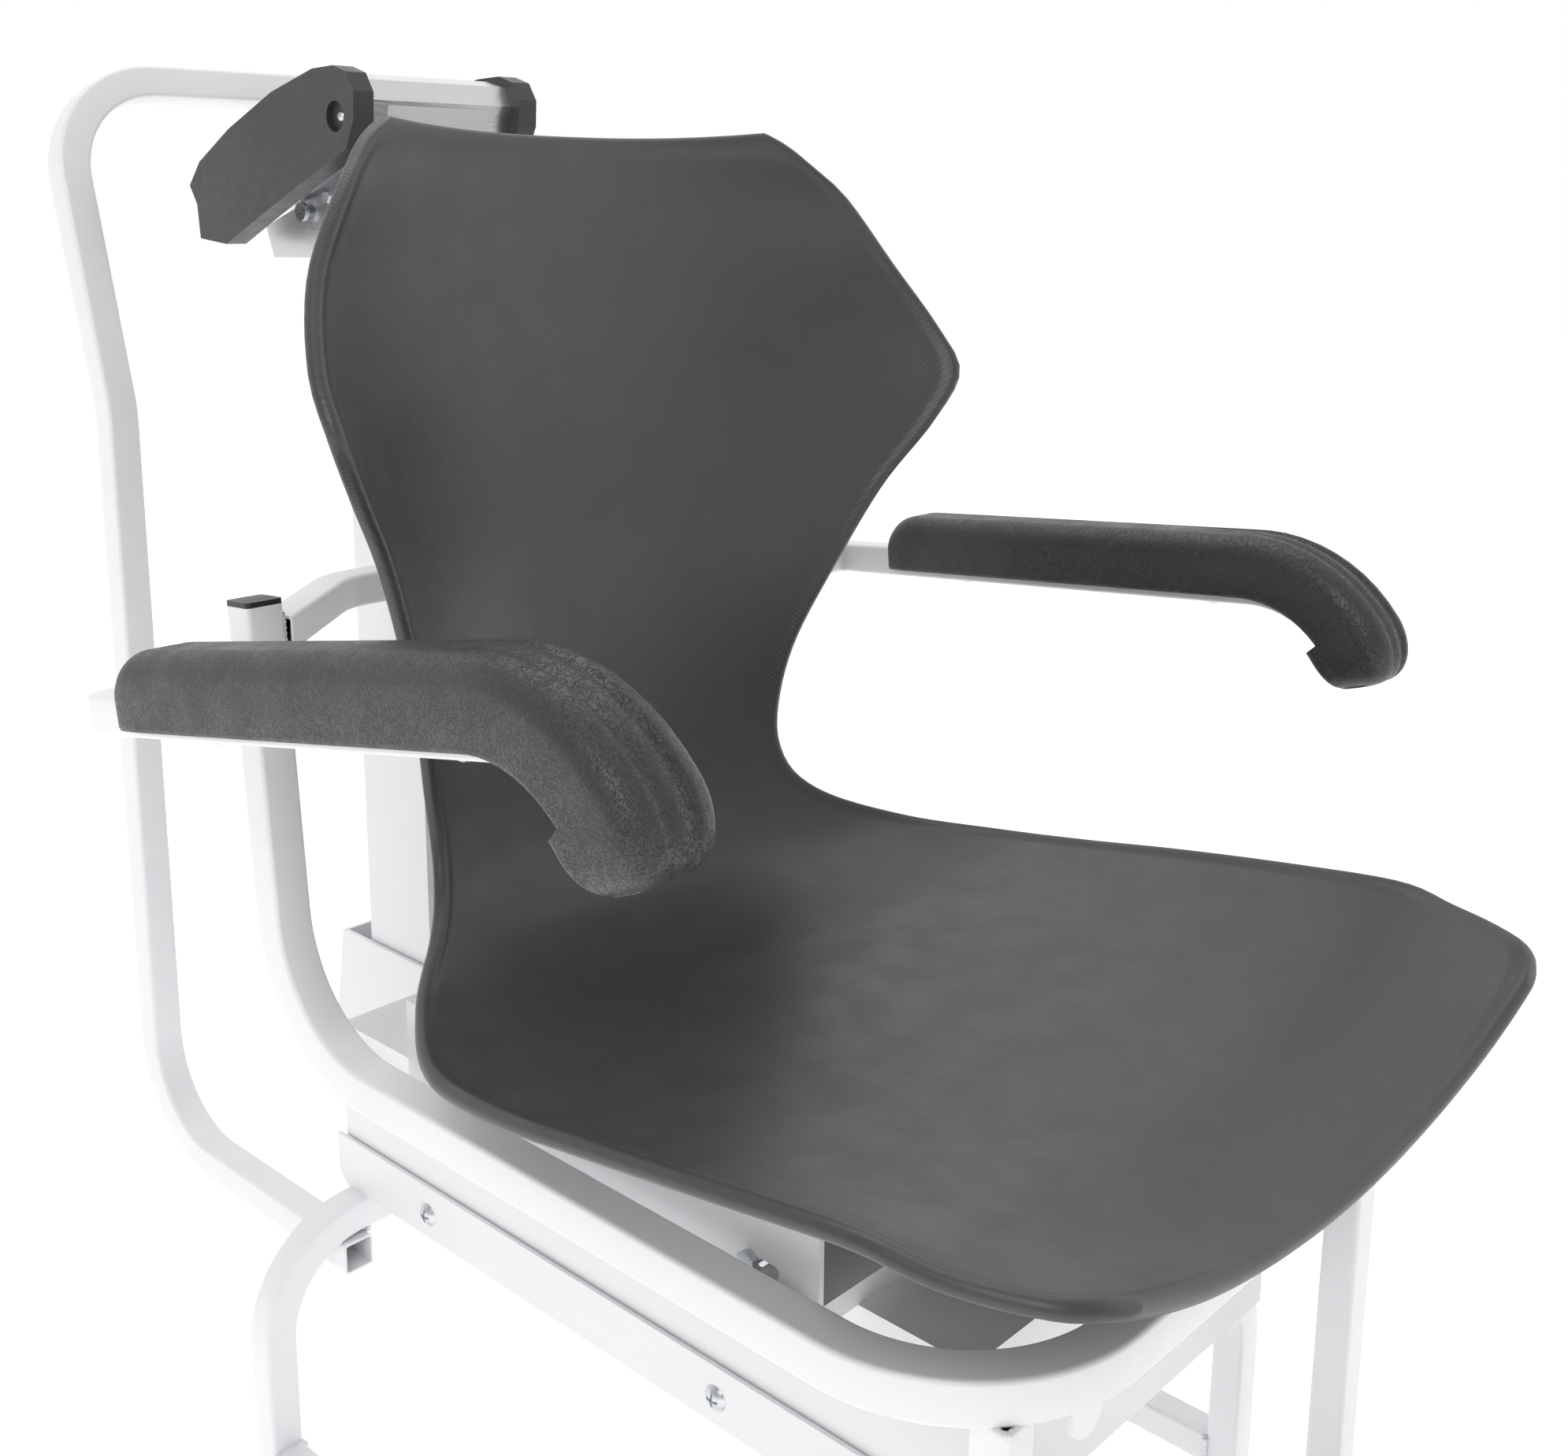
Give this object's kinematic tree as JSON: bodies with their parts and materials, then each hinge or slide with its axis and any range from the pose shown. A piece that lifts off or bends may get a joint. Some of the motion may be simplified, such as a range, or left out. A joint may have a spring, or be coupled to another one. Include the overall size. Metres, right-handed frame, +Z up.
{
  "type": "digital chair scale",
  "caption": "Wheeled chair scale: moulded bucket seat on a tube frame over a load cell box, with lifting padded arms, push handle, rear indicator and folding footrests.",
  "frame": {"origin": "on the floor, in the middle of the chair scale: half-way across it and half-way from the footrest tips to the push handle", "axes": "+Z up, -Y the way the seated person faces, +X on the right as seen from the front; left and right in the names are as seen from the front"},
  "size_m": [0.612, 0.9325, 0.9596],
  "materials": {
    "white_coat": "white powder coat",
    "seat_plastic": "charcoal, fine moulded texture",
    "zinc_steel": "zinc plated",
    "aluminium": "satin anodised",
    "pad_foam": "integral-skin foam, leather grain",
    "black_plastic": "satin black",
    "cap_plastic": "satin grey",
    "grey_tread": "grey rubber",
    "brake_plastic": "red",
    "display": "smoked window"
  },
  "bodies": {
    "chair": {"rear_leg_frame": "white_coat", "front_leg_frame": "white_coat", "side_rails": "white_coat", "push_handle": "white_coat", "base_channels": "white_coat", "channel_screws": "zinc_steel", "cell_plate": "white_coat", "load_cell": "aluminium", "cell_bolts": "zinc_steel", "weigh_box": "white_coat", "seat_frame": "white_coat", "post_caps": "black_plastic", "cross_bars": "white_coat", "seat_rails": "white_coat", "seat_bolts": "zinc_steel", "back_cross_tube": "white_coat", "column": "white_coat", "column_sleeve": "white_coat", "column_bolts": "zinc_steel", "seat_shell": "seat_plastic", "hanger_tubes": "white_coat", "stop_tabs": "white_coat", "indicator_bracket": "aluminium", "indicator_pin": "zinc_steel", "arm_pivot_bolts": "zinc_steel", "foot_pins": "zinc_steel", "castor_sockets": "black_plastic"},
    "left_arm": {"left_arm_tube": "white_coat", "left_arm_pad": "pad_foam", "left_pad_screws": "zinc_steel"},
    "right_arm": {"right_arm_tube": "white_coat", "right_arm_pad": "pad_foam", "right_pad_screws": "zinc_steel"},
    "indicator": {"indicator_housing": "aluminium", "indicator_caps": "cap_plastic", "cap_screws": "zinc_steel", "display_window": "display", "battery_cover": "black_plastic"},
    "left_footrest": {"left_foot_plate": "aluminium", "left_foot_mat": "black_plastic"},
    "right_footrest": {"right_foot_plate": "aluminium", "right_foot_mat": "black_plastic"},
    "power_button": {"power_key": "black_plastic"},
    "tare_button": {"tare_key": "black_plastic"},
    "hold_button": {"hold_key": "black_plastic"},
    "mode_button": {"mode_key": "black_plastic"},
    "rear_left_castor": {"rear_left_fork": "zinc_steel", "rear_left_axle": "zinc_steel"},
    "rear_left_roller": {"rear_left_wheel": "grey_tread"},
    "rear_right_castor": {"rear_right_fork": "zinc_steel", "rear_right_axle": "zinc_steel"},
    "rear_right_roller": {"rear_right_wheel": "grey_tread"},
    "front_left_castor": {"front_left_fork": "zinc_steel", "front_left_axle": "zinc_steel"},
    "front_left_roller": {"front_left_wheel": "grey_tread"},
    "front_right_castor": {"front_right_fork": "zinc_steel", "front_right_axle": "zinc_steel"},
    "front_right_roller": {"front_right_wheel": "grey_tread"},
    "left_pedal": {"left_brake": "brake_plastic"},
    "right_pedal": {"right_brake": "brake_plastic"}
  },
  "joints": [
    {"name": "left_arm_lift", "type": "hinge", "parent": "chair", "child": "left_arm", "pos_m": [-0.213, 0.167, 0.624], "axis": [-1, 0, 0], "range_deg": [-5.5, 75]},
    {"name": "right_arm_lift", "type": "hinge", "parent": "chair", "child": "right_arm", "pos_m": [0.213, 0.167, 0.624], "axis": [-1, 0, 0], "range_deg": [0, 80]},
    {"name": "indicator_tilt", "type": "hinge", "parent": "chair", "child": "indicator", "pos_m": [0, 0.352, 0.868], "axis": [1, 0, 0], "range_deg": [-6, 14]},
    {"name": "power_press", "type": "slide", "parent": "indicator", "child": "power_button", "axis": [0, -0.3672, -0.9302], "range_m": [0, 0.0012], "stiffness_N_per_m": 400},
    {"name": "tare_press", "type": "slide", "parent": "indicator", "child": "tare_button", "axis": [0, -0.3672, -0.9302], "range_m": [0, 0.0012], "stiffness_N_per_m": 400},
    {"name": "hold_press", "type": "slide", "parent": "indicator", "child": "hold_button", "axis": [0, -0.3672, -0.9302], "range_m": [0, 0.0012], "stiffness_N_per_m": 400},
    {"name": "mode_press", "type": "slide", "parent": "indicator", "child": "mode_button", "axis": [0, -0.3672, -0.9302], "range_m": [0, 0.0012], "stiffness_N_per_m": 400},
    {"name": "left_footrest_fold", "type": "hinge", "parent": "chair", "child": "left_footrest", "pos_m": [-0.1431, -0.3085, 0.12], "axis": [-1, 0, 0], "range_deg": [0, 88]},
    {"name": "right_footrest_fold", "type": "hinge", "parent": "chair", "child": "right_footrest", "pos_m": [0.1431, -0.3085, 0.12], "axis": [-1, 0, 0], "range_deg": [0, 88]},
    {"name": "rear_left_swivel", "type": "hinge", "parent": "chair", "child": "rear_left_castor", "pos_m": [-0.198, 0.186, 0.1], "axis": [0, 0, 1], "continuous": true},
    {"name": "rear_left_roll", "type": "hinge", "parent": "rear_left_castor", "child": "rear_left_roller", "pos_m": [-0.198, 0.214, 0.0375], "axis": [1, 0, 0], "continuous": true},
    {"name": "rear_right_swivel", "type": "hinge", "parent": "chair", "child": "rear_right_castor", "pos_m": [0.198, 0.186, 0.1], "axis": [0, 0, 1], "continuous": true},
    {"name": "rear_right_roll", "type": "hinge", "parent": "rear_right_castor", "child": "rear_right_roller", "pos_m": [0.198, 0.214, 0.0375], "axis": [1, 0, 0], "continuous": true},
    {"name": "front_left_swivel", "type": "hinge", "parent": "chair", "child": "front_left_castor", "pos_m": [-0.198, -0.228, 0.1], "axis": [0, 0, 1], "continuous": true},
    {"name": "front_left_roll", "type": "hinge", "parent": "front_left_castor", "child": "front_left_roller", "pos_m": [-0.198, -0.2, 0.0375], "axis": [1, 0, 0], "continuous": true},
    {"name": "front_right_swivel", "type": "hinge", "parent": "chair", "child": "front_right_castor", "pos_m": [0.198, -0.228, 0.1], "axis": [0, 0, 1], "continuous": true},
    {"name": "front_right_roll", "type": "hinge", "parent": "front_right_castor", "child": "front_right_roller", "pos_m": [0.198, -0.2, 0.0375], "axis": [1, 0, 0], "continuous": true},
    {"name": "left_brake_press", "type": "hinge", "parent": "rear_left_castor", "child": "left_pedal", "pos_m": [-0.198, 0.198, 0.084], "axis": [-1, 0, 0], "range_deg": [0, 13]},
    {"name": "right_brake_press", "type": "hinge", "parent": "rear_right_castor", "child": "right_pedal", "pos_m": [0.198, 0.198, 0.084], "axis": [-1, 0, 0], "range_deg": [0, 13]}
  ]
}
